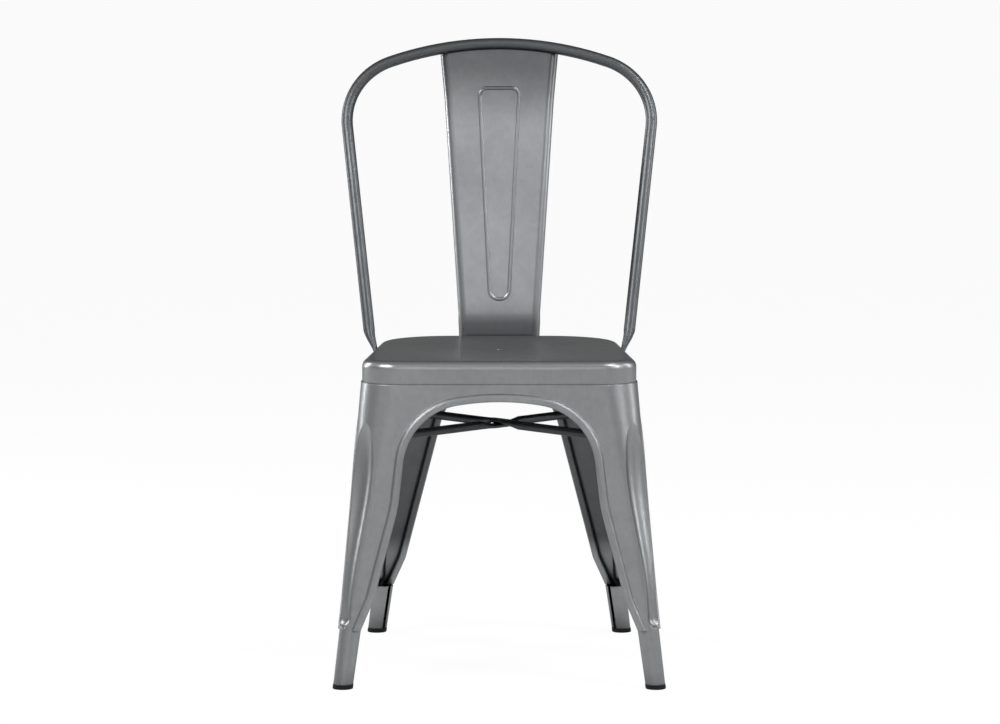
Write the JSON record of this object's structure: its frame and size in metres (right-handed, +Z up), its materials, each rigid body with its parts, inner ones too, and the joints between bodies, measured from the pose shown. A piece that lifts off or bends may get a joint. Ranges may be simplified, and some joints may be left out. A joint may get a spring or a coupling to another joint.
{
  "type": "metal bistro chair",
  "caption": "Stacking dining chair of pressed steel sheet: dished seat, arched aprons, splayed fluted legs, crossing under-seat braces, bent-tube back hoop with a ribbed splat.",
  "frame": {"origin": "on the floor, at the centre of the chair's overall width and depth", "axes": "+Z up, the chair faces -Y (the sitter looks along -Y), +X is the sitter's left"},
  "size_m": [0.4452, 0.503, 0.8524],
  "materials": {
    "pressed_steel": "brushed sheet steel under clear coat",
    "bent_tube": "dark steel tube under clear coat",
    "weld": "ground weld under clear coat",
    "rubber": "matt black rubber"
  },
  "bodies": {
    "root": {"seat_pan": "pressed_steel", "leg_front_left": "pressed_steel", "leg_front_right": "pressed_steel", "leg_rear_left": "pressed_steel", "leg_rear_right": "pressed_steel", "apron_weld_front": "weld", "apron_weld_rear": "weld", "apron_weld_left": "weld", "apron_weld_right": "weld", "foot_cap_front_left": "rubber", "foot_cap_front_right": "rubber", "foot_cap_rear_left": "rubber", "foot_cap_rear_right": "rubber", "brace_upper": "bent_tube", "brace_lower": "bent_tube", "brace_end_welds": "weld", "brace_crossing_welds": "weld", "back_hoop": "bent_tube", "back_splat": "pressed_steel", "hoop_end_welds": "weld", "splat_top_weld": "weld", "splat_foot_welds": "weld"}
  },
  "joints": []
}
